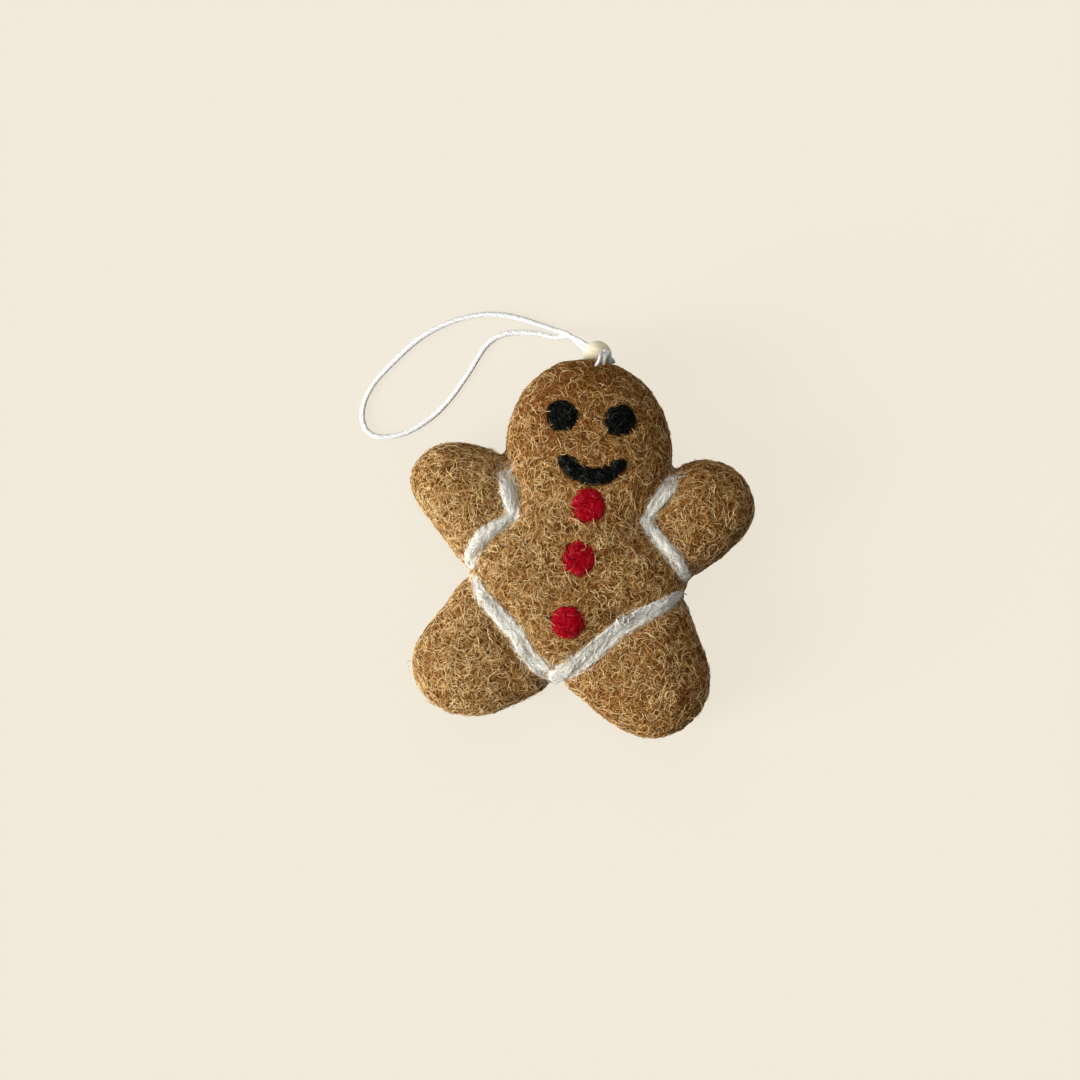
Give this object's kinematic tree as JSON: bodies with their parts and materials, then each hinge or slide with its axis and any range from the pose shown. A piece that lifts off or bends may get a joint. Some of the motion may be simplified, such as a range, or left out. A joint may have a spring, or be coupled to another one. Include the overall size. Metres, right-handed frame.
{
  "type": "felt christmas ornament",
  "caption": "Plump needle-felted gingerbread figure with felt face, buttons and wool icing, hung by a cotton cord loop threaded through a wooden bead.",
  "frame": {"origin": "on the surface that the figure lies on, under the middle of its box, without the hanging cord and its bead", "axes": "+Z out of the figure's front, +Y towards the crown of its head, +X towards its right in the picture"},
  "size_m": [0.1133, 0.1147, 0.0275],
  "materials": {
    "brown_felt": "needle-felted brown wool with curly surface fibres",
    "black_felt": "needle-felted black wool",
    "red_felt": "needle-felted red wool",
    "white_wool": "undyed white wool roving",
    "bead_wood": "bare turned wood, fine sanded",
    "cord_cotton": "twisted white cotton cord"
  },
  "bodies": {
    "ornament": {"torso": "brown_felt", "head": "brown_felt", "arm_left": "brown_felt", "arm_right": "brown_felt", "leg_left": "brown_felt", "leg_right": "brown_felt", "eye_left": "black_felt", "eye_right": "black_felt", "mouth": "black_felt", "button_top": "red_felt", "button_middle": "red_felt", "button_bottom": "red_felt", "icing_left_arm": "white_wool", "icing_right_arm": "white_wool", "icing_left_hip": "white_wool", "icing_right_hip": "white_wool", "cord_knot": "cord_cotton", "hanging_cord": "cord_cotton", "cord_stitch": "cord_cotton"},
    "bead": {"wooden_bead": "bead_wood"}
  },
  "joints": [
    {"name": "bead_slide", "type": "slide", "parent": "ornament", "child": "bead", "axis": [-0.75, 0.433, -0.5], "range_m": [0, 0.006]}
  ]
}
